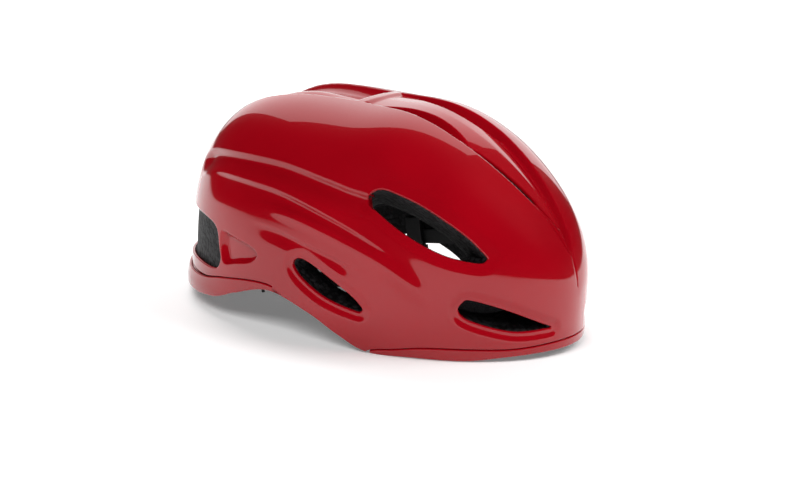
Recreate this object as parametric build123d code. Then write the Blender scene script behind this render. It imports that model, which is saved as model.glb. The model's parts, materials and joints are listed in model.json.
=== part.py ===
from build123d import *
from functools import lru_cache
import math
import os

# Aero road cycling helmet, millimetres.
# +X is the helmet's front, +Y the wearer's left, +Z up. The origin is on the ground under the
# middle of the helmet, which stands on its rim.

# ---- Outer shape -----------------------------------------------------------------------------
FRONT = 149.2            # nose of the shell, ahead of the origin
REAR = 146.0             # tail of the upper shell, behind the origin
HALF_WIDTH = 102.0       # widest half width
RISE = 112.5             # crown above the widest level
NOSE_DOWN = 0.065        # share of the rise that is lost at the nose and gained at the tail
WIDEST_Z = 36.0          # height of the widest level
DROP = 88.0              # how far below the widest level the sides would close
SHELL = 1.6              # thickness of the moulded shells
SEAT = 0.3               # gap between nested or seated pieces
STAR = (0.0, 0.0, 45.0)  # every shell surface is a distance from this point
REACH = 130.0            # degrees from straight up that a dome surface covers
GRID = 26                # surface points along each side of a dome
BLOCK = (360.0, 280.0, 230.0)
FLOOR_MARGIN = 8.0       # how far domes run below the ground before the rim is cut
STANDING = (Align.CENTER, Align.CENTER, Align.MIN)
BEHIND = (Align.MAX, Align.CENTER, Align.CENTER)

# ---- Rim and seams, seen from the side ---------------------------------------------------------
ARCH_X = -28.0           # ear arch
ARCH_Z = 30.0
LAND_FRONT = (46.0, 106.0)    # the rim lies on the ground between these
TAIL_RIM = (-118.0, 9.5)      # and it hangs level behind this
BROW_Z = 7.0
FRONT_BAND = 8.5         # height of the front lower shell's seam
REAR_BAND = 22.0         # height of the rear lower shell's seam at the tail
REAR_FLARE = 3.4         # how far the rear lower shell stands out
SEAM = 0.4               # open seam between shells
FRONT_BAND_X = 46.0      # the front lower shell starts here
REAR_BAND_X = -22.0      # the rear lower shell ends here

# ---- Centre channel, seen from above -----------------------------------------------------------
CHANNEL_DEPTH = 8.5
CHANNEL_HALF = 25.0
CHANNEL_START = -8.0
CHANNEL_TIP = 139.0
CHANNEL_LOW = 44.0       # the channel runs out above this height at the nose
SPINE_HALF = 9.0
SPINE_DEPTH = 3.0
RIB_WIDTH = 6.0
TAIL_CHANNEL_HALF = 30.0

# ---- Head space and foam -------------------------------------------------------------------------
CAVITY_FRONT = 112.0
CAVITY_REAR = 110.0
CAVITY_HALF = 80.0
CAVITY_TOP = 121.0
CAVITY_POWER = 2.3
RIM_LIP = 1.5            # foam stops this far above the shells' lower edge
PORT = (-77.0, 32.0, 65.0, 100.0)    # rear port: front end x, low z, high z, half width
PORT_DEPTH = 9.0         # foam is set back this far in the port

# ---- Retention system, modelled level and then tipped about the temple studs ---------------------
PIVOT = (50.0, 0.0, 46.0)
TIP_DOWN = 10.0          # degrees that the rear hangs down at rest
BAND_CENTRE_X = -22.0
BAND_R = 74.0
BAND_THICK = 1.6
BAND_TALL = 6.7
BAND_START = -6.0        # degrees past the tail, where a band ends under the dial
BAND_END = 98.0          # degrees round to the guide at the temple
RUN_GAP = 0.5            # running clearance round the bands
SNUG = 0.1               # gap between curved faces that are clipped together
PINION_TEETH = 10
MODULE = 1.0
PINION_R = PINION_TEETH * MODULE / 2
TOOTH_TALL = 1.3
TEETH_BEFORE = 2         # band teeth either side of the dial at rest
TEETH_AFTER = 9
HOUSING_ANGLE = 29.0
HOUSING_WALL = 1.6
KNOB_R = 12.0
KNOB_LONG = 9.0
GRIP_WALL = 1.6
FLUTES = 18              # finger flutes round the dial
FLUTE_R = 1.2
CAP_THICK = 1.2
SHAFT_R = 2.5
CRADLE_ANGLE = 42.0
CRADLE_THICK = 2.0
CRADLE_HALF = 16.0       # half height
PAD_THICK = 5.0
STUD_R = 3.0
SOCKET_LONG = 11.0
ARM_TALL = 10.0
GUIDE_LONG = 12.0        # guide that a band's front end slides in
HANGER_R = 152.0         # hanger strip and its rack are arcs about the studs
HANGER_THICK = 1.6
HANGER_WIDE = 12.0
HANGER_LOW = 6.0         # degrees above level, before the tip
HANGER_HIGH = 20.0
RAISED = 3.0             # degrees that the height adjustment lifts the rear
RACK_THICK = 3.0
RACK_START = 1.0         # degrees above level, about the studs
RACK_END = 12.0
NOTCHES = 5
NOTCH_STEP = 2.0         # degrees
NOTCH_R = 1.0

# ---- Straps --------------------------------------------------------------------------------------
WEB_WIDE = 15.0
WEB_THICK = 1.4
WEB_INSET = 2.2          # webbing lies this far inside the foam
DIVIDER = (24.0, 5.0, 20.0)
DIVIDER_Z = 68.0
DIVIDER_INSET = 0.8      # the divider lies this far inside the foam
LEVER_THICK = 2.0
BUCKLE = (24.0, 30.0, 9.0)
BUCKLE_TONGUE = 13.0
RELEASE = 20.0           # the tongue slides this far to come free
ANCHOR = (20.0, 7.0, 5.0)
FRONT_ANCHOR_X = 76.0
REAR_ANCHOR_X = -62.0
ANCHOR_Z = 54.0
KEEPER_Y = 48.0          # the keeper ring holds the folded webbing here

parts = {}


# ---- Curves and surfaces -------------------------------------------------------------------------
def mix(a, b, share):
    return a + (b - a) * share


def outside(x, y, z):
    """Negative inside the smooth helmet body, positive outside it."""
    forward = 0.5 + 0.5 * math.tanh(x / 45)
    along = x / mix(REAR, FRONT, forward)
    if abs(along) > 0.9999:
        return 5.0
    arch = 1 - abs(along) ** mix(3.8, 2.1, forward)
    rise = RISE * arch ** (1 / 1.9) * (1 - NOSE_DOWN * along)
    half = HALF_WIDTH * (1 - abs(along) ** 2.2) ** (1 / 1.9) * (1 - 0.05 * along)
    up = (z - WIDEST_Z) / (rise if z > WIDEST_Z else DROP)
    return abs(y / half) ** 2.7 + abs(up) ** 2.7 - 1


def cavity_reach(x):
    return CAVITY_FRONT if x > 0 else CAVITY_REAR


def outside_cavity(x, y, z):
    """Negative inside the head space, whose walls drop straight below the widest level."""
    up = max(z - WIDEST_Z, 0) / (CAVITY_TOP - WIDEST_Z)
    sides = abs(x / cavity_reach(x)) ** CAVITY_POWER + abs(y / CAVITY_HALF) ** CAVITY_POWER
    return sides + up ** CAVITY_POWER - 1


def wall_y(x, z):
    """Half width of the head space at a place on its wall."""
    up = max(z - WIDEST_Z, 0) / (CAVITY_TOP - WIDEST_Z)
    rest = 1 - abs(x / cavity_reach(x)) ** CAVITY_POWER - up ** CAVITY_POWER
    return CAVITY_HALF * rest ** (1 / CAVITY_POWER)


def distance(direction, test):
    """How far the surface of test lies from the star point in a direction."""
    low, high = 20.0, 300.0
    for _ in range(36):
        middle = (low + high) / 2
        point = [s + middle * d for s, d in zip(STAR, direction)]
        if test(*point) < 0:
            low = middle
        else:
            high = middle
    return low


def direction(a, b):
    """Unit vector for a place on a square sheet that is wrapped over the dome without a pole."""
    x = a * math.sqrt(1 - b * b / 2)
    y = b * math.sqrt(1 - a * a / 2)
    spread = math.hypot(x, y)
    angle = math.radians(REACH) * spread
    scale = math.sin(angle) / spread if spread > 1e-9 else math.radians(REACH)
    return (scale * x, scale * y, math.cos(angle))


@lru_cache(maxsize=None)
def dome(test, inset):
    """Solid under one of the smooth surfaces, moved in towards the star point by inset."""
    rows = []
    for i in range(GRID + 1):
        row = []
        for j in range(GRID + 1):
            way = direction(2 * i / GRID - 1, 2 * j / GRID - 1)
            reach = distance(way, test) - inset
            row.append(tuple(s + reach * w for s, w in zip(STAR, way)))
        rows.append(row)
    sheet = Face.make_surface_from_array_of_points(rows, tol=0.05, min_deg=3, max_deg=3)
    block = Pos(0, 0, -FLOOR_MARGIN) * Box(*BLOCK, align=STANDING)
    pieces = block.solid().split(sheet, keep=Keep.ALL)
    return min(pieces, key=lambda piece: piece.volume)


def prism_z(outline, low=-20.0, high=200.0):
    """Column over an outline in X and Y."""
    face = make_face(outline)
    return Pos(0, 0, low) * extrude(face, high - low, dir=(0, 0, 1))


def prism_y(outline, low=-140.0, high=140.0):
    """Bar whose outline in X and Z is drawn in the sketch plane."""
    face = Plane.XZ * make_face(outline)
    return Pos(0, low, 0) * extrude(face, high - low, dir=(0, 1, 0))


def polygon(points):
    return Polyline(*points, close=True)


def loop(points):
    return Spline(*points, periodic=True)


def mirrored(shape):
    return mirror(shape, about=Plane.XZ)


def pair(stem, shape):
    """Store a left-hand piece and its mirror image."""
    parts[stem + "_left"] = shape
    parts[stem + "_right"] = mirrored(shape)


# ---- Rim, seams and vents ------------------------------------------------------------------------
def rim_line():
    """Lower edge of the helmet from tail to nose, seen from the side."""
    arch = Spline(TAIL_RIM, (-82, 13), (-60, 21), (ARCH_X, ARCH_Z), (4, 21), (27, 8.5),
                  (LAND_FRONT[0], 0), tangents=((1, 0), (1, -0.15)))
    brow = Spline((LAND_FRONT[1], 0), (130, 3.5), (FRONT + 24, BROW_Z), tangents=((1, 0), (1, 0.1)))
    return [Line((-REAR - 30, TAIL_RIM[1]), TAIL_RIM), arch, Line(arch @ 1, brow @ 0), brow]


def above_rim(lift):
    """Everything above the rim line, which lift raises."""
    edges = rim_line()
    end = edges[-1] @ 1
    roof = Polyline(end, (end.X, 220), (-REAR - 30, 220), (-REAR - 30, TAIL_RIM[1]))
    return Pos(0, 0, lift) * prism_y(edges + [roof])


def front_band_zone(grow):
    """Region of the front lower shell, seen from the side."""
    top = FRONT_BAND + grow
    return prism_y(polygon([(FRONT_BAND_X - grow, -20), (FRONT_BAND_X - grow, 3),
                            (FRONT_BAND_X + 22 - grow, top - 3), (LAND_FRONT[1], top),
                            (FRONT + 30, top + BROW_Z - 2), (FRONT + 30, -20)]))


def rear_band_zone(grow):
    """Region of the rear lower shell, seen from the side."""
    top = REAR_BAND + grow
    return prism_y(polygon([(-REAR - 30, -20), (-REAR - 30, top), (-104, top + 1), (-74, top + 6.5),
                            (ARCH_X - 16, top + 11.5), (REAR_BAND_X + grow, top + 11),
                            (REAR_BAND_X + grow, -20)]))


@lru_cache(maxsize=None)
def vents():
    """Every vent as one tool that goes through the shell and the foam."""
    middle = prism_y(loop([(42, 97), (41, 104), (48, 107), (70, 100), (98, 84), (109, 74), (107, 67),
                           (92, 70), (66, 82)]))
    lower = prism_y(loop([(-8, 50), (-2, 55), (12, 51), (33, 39), (41, 31), (36, 27), (16, 33), (-2, 43)]))
    slit = Spline((18, 35), (24, 42), (48, 35), (80, 21), (54, 19), (26, 27), periodic=True)
    slit_plane = Plane(origin=(66, -64, 0), x_dir=(0.69, 0.72, 0), z_dir=(0.72, -0.69, 0))
    front = extrude(slit_plane * make_face(slit), 120)
    slot = prism_z(loop([(72, 15), (96, 18), (122, 12), (128, 8), (112, 11), (88, 12)]), low=60)
    scoop = prism_z(loop([(10, 14), (18, 21), (40, 21), (52, 17), (40, 13), (18, 11)]), low=60)
    exhaust = Pos(-70, 26, 52) * Box(120, 22, 18, align=BEHIND)
    tools = [middle, lower, front, mirrored(front), slot, mirrored(slot), scoop, mirrored(scoop)]
    tools += [exhaust, mirrored(exhaust)]
    return tools


def channel(grow):
    """Leaf-shaped centre channel from above, grown by the thickness of what lines it."""
    half = CHANNEL_HALF + grow
    side = Spline((CHANNEL_START - grow, half - 2), (40, half + 1), (98, half - 4), (CHANNEL_TIP + grow, 0),
                  tangents=((1, 0.1), (0.5, -1)))
    back = Line((CHANNEL_START - grow, half - 2), (CHANNEL_START - grow, 2 - half))
    return prism_z([side, mirrored(side), back], low=CHANNEL_LOW)


def tail_channel(grow):
    """Channel behind the crown rib, which opens towards the tail."""
    start = CHANNEL_START - RIB_WIDTH + grow
    near, far = 4 + grow, TAIL_CHANNEL_HALF + 8 + grow
    return prism_z(polygon([(start, near), (-170, far), (-170, -far), (start, -near)]), low=CHANNEL_LOW)


def spine(grow):
    """Raised spine along the channel from above."""
    half = SPINE_HALF + grow
    return prism_z(loop([(20 - grow, 0), (60, -half), (110, 1 - half), (CHANNEL_TIP + grow, 0),
                         (110, half - 1), (60, half)]), low=CHANNEL_LOW)


@lru_cache(maxsize=None)
def body(inset):
    """Helmet body with its channels and spine, its surface set in by inset."""
    smooth = dome(outside, inset)
    floor = dome(outside, inset + CHANNEL_DEPTH)
    ridge = dome(outside, inset + SPINE_DEPTH)
    cut = smooth - channel(inset) - tail_channel(inset)
    return cut + (floor & channel(inset + 1)) + (floor & tail_channel(inset + 1)) + (ridge & spine(-inset))


# ---- Shells and foam -----------------------------------------------------------------------------
def rear_port(grow):
    """Opening at the tail where the foam shows."""
    front, low, high, half = PORT
    middle = Pos(front, 0, (low + high) / 2)
    return middle * Box(120, 2 * half + 2 * grow, high - low + 2 * grow, align=BEHIND)


def upper_shell():
    skin = body(0) - body(SHELL)
    skin = (skin & above_rim(0)) - front_band_zone(SEAM) - rear_band_zone(SEAM) - rear_port(0)
    return skin - vents()


def front_rim_shell():
    ring = (dome(outside, 0) - dome(outside, SHELL)) & front_band_zone(0)
    return (ring & above_rim(0)) - vents()


def rear_rim_shell():
    ring = (dome(outside, -REAR_FLARE) - dome(outside, SHELL)) & rear_band_zone(0)
    return ring & above_rim(0)


def foam_liner():
    foam = body(SHELL + SEAT) - dome(outside_cavity, 0)
    foam = (foam & above_rim(RIM_LIP)) - vents()
    set_back = Pos(PORT_DEPTH - REAR, 0, 0) * Box(200, 200, 400, align=BEHIND)
    port = rear_port(0) & set_back
    return foam - port - foam_pockets()


def foam_pockets():
    """Room in the foam for the anchors, the dial, the rack and the temple sockets."""
    front, rear = anchor_place(FRONT_ANCHOR_X), anchor_place(REAR_ANCHOR_X)
    pockets = [place * Box(*[size + SEAT for size in ANCHOR]) for place in (front, rear)]
    pockets.append(socket_place() * Pos(0, 0, 6) * Cylinder(STUD_R + 3 + SEAT / 2, SOCKET_LONG + 13))
    pockets += [mirrored(pocket) for pocket in pockets]
    pockets.append(Pos(-108, 0, 22) * Box(24, 2 * KNOB_R + 8, 64))
    rack_back = HANGER_R + HANGER_THICK + SEAT + RACK_THICK + 0.1
    top = HANGER_HIGH - TIP_DOWN + RAISED + 0.8
    pockets.append(rack_arc(HANGER_R - 4, rack_back, HANGER_WIDE + 9, -3, max(top, RACK_END + 0.3)))
    return pockets


# ---- Pads ----------------------------------------------------------------------------------------
def lining(inset, thick, zone):
    """Sheet that follows the head space's wall, inset from it, inside a zone."""
    return (dome(outside_cavity, inset) - dome(outside_cavity, inset + thick)) & zone


def brow_pad():
    zone = Pos(150, 0, 33) * Box(200, 110, 22)
    return lining(SEAT, PAD_THICK, zone)


def crown_pad(x):
    outline = Pos(x, 0) * RectangleRounded(44, 30, 12)
    return lining(SEAT, PAD_THICK, Pos(0, 0, 60) * extrude(outline, 100))


def side_pad():
    outline = Pos(-42, 42) * Rot(0, 0, 14) * RectangleRounded(54, 14, 6.5)
    return lining(SEAT, PAD_THICK, Pos(0, 0, 60) * extrude(outline, 100))


# ---- Retention system ----------------------------------------------------------------------------
def tipped(shape):
    """Turn a level piece about the temple studs to where it hangs at rest."""
    return Pos(*PIVOT) * Rot(0, -TIP_DOWN, 0) * Pos(-PIVOT[0], 0, -PIVOT[2]) * shape


def fan(angles):
    """Flat fan from the middle out past everything; angles run from the tail towards the left."""
    far = 400.0
    turns = [math.radians(angle) for angle in angles]
    rim = [(-far * math.cos(turn), far * math.sin(turn)) for turn in turns]
    return make_face(Polyline((0, 0), *rim, close=True))


def arc_bar(r_in, r_out, z_low, z_high, start, end):
    """Upright curved bar about the bands' centre."""
    ring = Cylinder(r_out, z_high - z_low) - Cylinder(r_in, z_high - z_low + 1)
    wedge = fan((start, (start + end) / 2, end))
    bar = ring & Pos(0, 0, -100) * extrude(wedge, 200, dir=(0, 0, 1))
    return Pos(BAND_CENTRE_X, 0, (z_low + z_high) / 2) * bar


def band(side):
    """Toothed headband arc; side 1 is the left band, which runs under the pinion."""
    z_pitch = PIVOT[2] - side * PINION_R
    z_root = z_pitch - side * TOOTH_TALL / 2
    z_far = z_root - side * BAND_TALL
    low, high = min(z_root, z_far), max(z_root, z_far)
    r_in, r_out = BAND_R - BAND_THICK / 2, BAND_R + BAND_THICK / 2
    ends = sorted((side * BAND_START, side * BAND_END))
    strip = arc_bar(r_in, r_out, low, high, *ends)
    pitch = math.degrees(math.pi * MODULE / BAND_R)
    half_tooth = 0.19 * pitch
    z_tip = z_pitch + side * TOOTH_TALL / 2
    tooth_low, tooth_high = min(z_root, z_tip) - 0.01, max(z_root, z_tip) + 0.01
    for k in range(-TEETH_BEFORE, TEETH_AFTER):
        middle = side * (k + 0.5) * pitch
        strip += arc_bar(r_in, r_out, tooth_low, tooth_high, middle - half_tooth, middle + half_tooth)
    return tipped(strip)


def pinion():
    r_root = PINION_R - TOOTH_TALL / 2 - 0.2
    r_tip = PINION_R + TOOTH_TALL / 2
    tooth = make_face(polygon([(-0.7, 0), (-0.7, r_root), (-0.35, r_tip), (0.35, r_tip), (0.7, r_root),
                               (0.7, 0)]))
    outline = Sketch() + Circle(r_root)
    for k in range(PINION_TEETH):
        outline += Rot(0, 0, 360 / PINION_TEETH * k) * tooth
    wheel = extrude(outline, BAND_THICK)
    return tipped(on_axis(BAND_R - BAND_THICK / 2) * wheel)


def on_axis(r):
    """Plane across the dial's axis at a radius from the bands' centre, facing the tail."""
    return Plane(origin=(BAND_CENTRE_X - r, 0, PIVOT[2]), x_dir=(0, 1, 0), z_dir=(-1, 0, 0)).location


def slot_height():
    return PINION_R + TOOTH_TALL / 2 + BAND_TALL + RUN_GAP


def dial_housing():
    half = slot_height()
    outer_r = BAND_R + BAND_THICK / 2 + RUN_GAP + HOUSING_WALL
    inner_r = BAND_R - BAND_THICK / 2 - RUN_GAP
    z = PIVOT[2]
    tall = half + HOUSING_WALL
    shell = arc_bar(inner_r, outer_r, z - tall, z + tall, -HOUSING_ANGLE, HOUSING_ANGLE)
    past = HOUSING_ANGLE + 5
    room = arc_bar(inner_r - 1, outer_r - HOUSING_WALL, z - half, z + half, -past, past)
    hole = on_axis(outer_r - 10) * Cylinder(SHAFT_R + 0.05, 40)
    return tipped(shell - room - hole)


def housing_cover():
    tall = slot_height() + HOUSING_WALL
    r_out = BAND_R - BAND_THICK / 2 - RUN_GAP
    z = PIVOT[2]
    return tipped(arc_bar(r_out - HOUSING_WALL, r_out, z - tall, z + tall, -HOUSING_ANGLE, HOUSING_ANGLE))


def knob_face_r():
    """Radius from the bands' centre to the dial's inner face."""
    return BAND_R + BAND_THICK / 2 + RUN_GAP + HOUSING_WALL + SEAT


def dial_knob():
    core = Cylinder(KNOB_R - GRIP_WALL, KNOB_LONG, align=STANDING)
    shaft_long = knob_face_r() - (BAND_R + BAND_THICK / 2)
    shaft = Pos(0, 0, -shaft_long) * Cylinder(SHAFT_R, shaft_long + 1, align=STANDING)
    cap = Pos(0, 0, KNOB_LONG) * Cylinder(KNOB_R - GRIP_WALL - 2, CAP_THICK, align=STANDING)
    return tipped(on_axis(knob_face_r()) * (core + shaft + cap))


def dial_grip():
    ring = Cylinder(KNOB_R, KNOB_LONG, align=STANDING)
    ring -= Cylinder(KNOB_R - GRIP_WALL, KNOB_LONG, align=STANDING)
    step = 360 / FLUTES
    flutes = [Rot(0, 0, step * k) * Pos(KNOB_R + 0.6, 0, 0) * Cylinder(FLUTE_R, 40) for k in range(FLUTES)]
    return tipped(on_axis(knob_face_r()) * (ring - flutes))


def cradle():
    """Occipital frame with a window, on the head side of the housing."""
    outer_r = BAND_R - BAND_THICK / 2 - RUN_GAP - HOUSING_WALL - SNUG
    z = PIVOT[2]
    inner_r = outer_r - CRADLE_THICK
    plate = arc_bar(inner_r, outer_r, z - CRADLE_HALF, z + CRADLE_HALF, -CRADLE_ANGLE, CRADLE_ANGLE)
    window = arc_bar(outer_r - 10, outer_r + 5, z - 8, z + 8, 16, 34)
    return tipped(plate - window - mirrored(window))


def nape_pad():
    r_out = BAND_R - BAND_THICK / 2 - RUN_GAP - HOUSING_WALL - SNUG - CRADLE_THICK - SEAT
    return tipped(arc_bar(r_out - PAD_THICK + 1, r_out, PIVOT[2] - 14, PIVOT[2] + 14, 9, 39))


def temple_clip():
    """Arm from the temple stud back to the guide that the band's front end slides in."""
    z = PIVOT[2]
    outer = BAND_R + BAND_THICK / 2 + RUN_GAP
    inner = BAND_R - BAND_THICK / 2 - RUN_GAP
    tall = 2 * slot_height() + 2 * HOUSING_WALL
    guide_place = Pos(BAND_CENTRE_X + 1, (outer + inner) / 2, z)
    guide = guide_place * Box(GUIDE_LONG, outer - inner + 2 * HOUSING_WALL, tall)
    guide -= guide_place * Box(GUIDE_LONG + 1, outer - inner, 2 * slot_height())
    back, front = Vector(BAND_CENTRE_X + 5, outer + HOUSING_WALL / 2), Vector(PIVOT[0] + 6, arm_y())
    turn = math.degrees(math.atan2(front.Y - back.Y, front.X - back.X))
    length = (front - back).length
    middle = (front + back) * 0.5
    arm = Pos(middle.X, middle.Y, z) * Rot(0, 0, turn) * Box(length, HOUSING_WALL, ARM_TALL)
    eye_hole = Pos(PIVOT[0], arm_y(), z) * Rot(90, 0, 0) * Cylinder(STUD_R + 0.05, 10)
    return tipped(guide + arm - eye_hole)


def arm_y():
    """How far out the arm lies at the temple stud, clear of the foam."""
    return wall_y(PIVOT[0] + 7, PIVOT[2] + ARM_TALL) - HOUSING_WALL / 2 - RUN_GAP


def socket_place():
    return Pos(PIVOT[0], wall_y(PIVOT[0], PIVOT[2]) + SOCKET_LONG / 2 + 0.4, PIVOT[2]) * Rot(90, 0, 0)


def temple_stud():
    """Socket set in the foam with the stud that the arm turns on, and its head."""
    base = socket_place() * Cylinder(STUD_R + 3, SOCKET_LONG)
    head_y = arm_y() - HOUSING_WALL / 2 - 1.5
    end = wall_y(PIVOT[0], PIVOT[2]) + 3
    stud = Pos(PIVOT[0], (head_y + end) / 2, PIVOT[2]) * Rot(90, 0, 0) * Cylinder(STUD_R, end - head_y)
    head = Pos(PIVOT[0], head_y - 0.6, PIVOT[2]) * Rot(90, 0, 0) * Cylinder(STUD_R + 1.5, 1.21)
    return base + stud + head


def rack_arc(r_in, r_out, wide, start, end):
    """Upright curved strip about the temple studs, from start to end degrees above level."""
    ring = Rot(90, 0, 0) * (Cylinder(r_out, wide) - Cylinder(r_in, wide + 1))
    wedge = Pos(0, -wide, 0) * extrude(Plane.XZ * fan((start, end)), 2 * wide, dir=(0, 1, 0))
    return Pos(*PIVOT) * (ring & wedge)


def hanger():
    """Strip that rises from the cradle and slides over the rack."""
    foot_r = BAND_CENTRE_X - (BAND_R - BAND_THICK / 2 - RUN_GAP - HOUSING_WALL)
    strip = rack_arc(HANGER_R, HANGER_R + HANGER_THICK, HANGER_WIDE, HANGER_LOW, HANGER_HIGH)
    foot = Pos(foot_r - 2, 0, PIVOT[2] + CRADLE_HALF + 1 + SEAT) * Box(12, HANGER_WIDE, 2)
    return tipped(strip + foot)


def height_rack():
    r_in = HANGER_R + HANGER_THICK + SEAT
    rack = rack_arc(r_in, r_in + RACK_THICK, HANGER_WIDE + 8, RACK_START, RACK_END)
    for k in range(NOTCHES):
        angle = math.radians(RACK_START + 1.5 + NOTCH_STEP * k)
        place = Pos(PIVOT[0] - r_in * math.cos(angle), 0, PIVOT[2] + r_in * math.sin(angle))
        rack -= place * Rot(90, 0, 0) * Cylinder(NOTCH_R, HANGER_WIDE - 3)
    return rack


# ---- Straps --------------------------------------------------------------------------------------
def wall_z(x, y):
    """Height of the head space's wall over a point."""
    sides = abs(x / cavity_reach(x)) ** CAVITY_POWER + abs(y / CAVITY_HALF) ** CAVITY_POWER
    return WIDEST_Z + (CAVITY_TOP - WIDEST_Z) * (1 - sides) ** (1 / CAVITY_POWER)


def wall_turn(x):
    """Heading of the wall seen from above, in degrees from +X."""
    return math.degrees(math.atan2(wall_y(x + 5, ANCHOR_Z) - wall_y(x - 5, ANCHOR_Z), 10))


def anchor_place(x):
    """Anchors stand proud of the foam just far enough to meet the webbing."""
    proud = WEB_INSET - 2 * SEAT
    on_wall = Pos(x, wall_y(x, ANCHOR_Z), ANCHOR_Z) * Rot(0, 0, wall_turn(x))
    return on_wall * Pos(0, ANCHOR[1] / 2 - proud, 0)


def strap_anchor(x):
    return anchor_place(x) * Box(*ANCHOR)


def side_strap(x_low):
    """Webbing from an anchor up the side wall to the divider."""
    toward = 1 if x_low > 0 else -1
    run = Polyline((x_low, ANCHOR_Z + ANCHOR[2] / 2 + 1), (toward * (DIVIDER[0] / 2 + 0.3), DIVIDER_Z + 2))
    start, end = run @ 0, run @ 1
    slope = (end - start).normalized()
    across = Vector(-slope.Y, slope.X) * (WEB_WIDE / 2)
    corners = [start + across, end + across, end - across, start - across]
    zone = prism_y(polygon([(c.X, c.Y) for c in corners]), low=20)
    return lining(WEB_INSET, WEB_THICK, zone - Pos(0, 0, DIVIDER_Z) * Box(DIVIDER[0] + 2 * SEAT, 300, 60))


def divider_place(inset):
    """Middle of a piece inset from the wall at the divider, leaning with the wall."""
    rise = DIVIDER[2] / 2
    lean = math.degrees(math.atan2(wall_y(0, DIVIDER_Z - rise) - wall_y(0, DIVIDER_Z + rise), 2 * rise))
    return Pos(0, wall_y(0, DIVIDER_Z), DIVIDER_Z) * Rot(lean, 0, 0) * Pos(0, -inset, 0)


def divider():
    return divider_place(DIVIDER_INSET + DIVIDER[1] / 2) * Box(*DIVIDER)


def divider_lever():
    """Clamping plate that turns on the round knuckle along its top edge."""
    inset = DIVIDER_INSET + DIVIDER[1] + SEAT + LEVER_THICK / 2
    wide, tall = DIVIDER[0] - 6, DIVIDER[2] - 6
    knuckle = Pos(0, 0, tall / 2) * Rot(0, 90, 0) * Cylinder(LEVER_THICK / 2, wide)
    return divider_place(inset) * (Box(wide, LEVER_THICK, tall) + knuckle)


def chin_strap():
    """Webbing from the divider up over the crown, turned down at the buckle's end."""
    start = (BUCKLE[1] + BUCKLE_TONGUE) / 2 + SEAT
    low = DIVIDER_Z + DIVIDER[2] / 2 + SEAT
    zone = Pos(0, start, low) * Box(WEB_WIDE, 100, 100, align=(Align.CENTER, Align.MIN, Align.MIN))
    turn = Pos(0, start, buckle_z()) * Box(WEB_WIDE, WEB_THICK, 100, align=(Align.CENTER, Align.MIN, Align.MIN))
    return lining(WEB_INSET, WEB_THICK, zone) + (turn & dome(outside_cavity, WEB_INSET))


def buckle_z():
    """Level at which the tongue's whole travel clears the foam over it."""
    reach = (BUCKLE[1] + BUCKLE_TONGUE) / 2 + SEAT + RELEASE
    return wall_z(BUCKLE[0] / 2, reach) - 1 - BUCKLE[2] / 2


def buckle_female():
    shell = Box(*BUCKLE)
    room = Pos(0, 4, 0) * Box(BUCKLE[0] - 4, BUCKLE[1], BUCKLE[2] - 4)
    return Pos(0, -BUCKLE_TONGUE / 2, buckle_z()) * (shell - room)


def buckle_male():
    frame_y = (BUCKLE[1] - BUCKLE_TONGUE) / 2 + SEAT
    frame = Pos(0, frame_y + BUCKLE_TONGUE / 2, buckle_z()) * Box(BUCKLE[0], BUCKLE_TONGUE, BUCKLE[2])
    prongs = Pos(0, frame_y - 9, buckle_z()) * Box(BUCKLE[0] - 6, 18.02, BUCKLE[2] - 5)
    return frame + prongs


def keeper_ring():
    middle = Pos(0, KEEPER_Y, 80)
    ring = lining(WEB_INSET - 1.5, WEB_THICK + 3, middle * Box(WEB_WIDE + 3.2, 4, 100))
    return ring - lining(WEB_INSET - SEAT, WEB_THICK + 2 * SEAT, middle * Box(WEB_WIDE + 0.6, 10, 100))


# ---- Assembly ------------------------------------------------------------------------------------
def build():
    parts["upper_shell"] = upper_shell()
    parts["front_rim_shell"] = front_rim_shell()
    parts["rear_rim_shell"] = rear_rim_shell()
    parts["foam_liner"] = foam_liner()
    pair("front_anchor", strap_anchor(FRONT_ANCHOR_X))
    pair("rear_anchor", strap_anchor(REAR_ANCHOR_X))
    pair("temple_stud", temple_stud())
    parts["height_rack"] = height_rack()
    parts["brow_pad"] = brow_pad()
    parts["crown_pad_front"] = crown_pad(38)
    parts["crown_pad_rear"] = crown_pad(-38)
    pair("side_pad", side_pad())
    pair("front_strap", side_strap(FRONT_ANCHOR_X))
    pair("rear_strap", side_strap(REAR_ANCHOR_X))
    pair("divider", divider())
    pair("divider_lever", divider_lever())
    pair("chin_strap", chin_strap())
    parts["keeper_ring"] = keeper_ring()
    parts["buckle_female"] = buckle_female()
    parts["buckle_male"] = buckle_male()
    parts["cradle"] = cradle()
    parts["dial_housing"] = dial_housing()
    parts["housing_cover"] = housing_cover()
    parts["hanger"] = hanger()
    pair("nape_pad", nape_pad())
    pair("temple_clip", temple_clip())
    parts["left_band"] = band(1)
    parts["right_band"] = band(-1)
    parts["pinion"] = pinion()
    parts["dial_knob"] = dial_knob()
    parts["dial_grip"] = dial_grip()


build()
os.makedirs("parts", exist_ok=True)
for name, shape in parts.items():
    shape.label = name
    export_step(shape, "parts/" + name + ".step")
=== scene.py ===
import json
import math
import bpy
import numpy as np
from mathutils import Matrix, Vector


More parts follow.
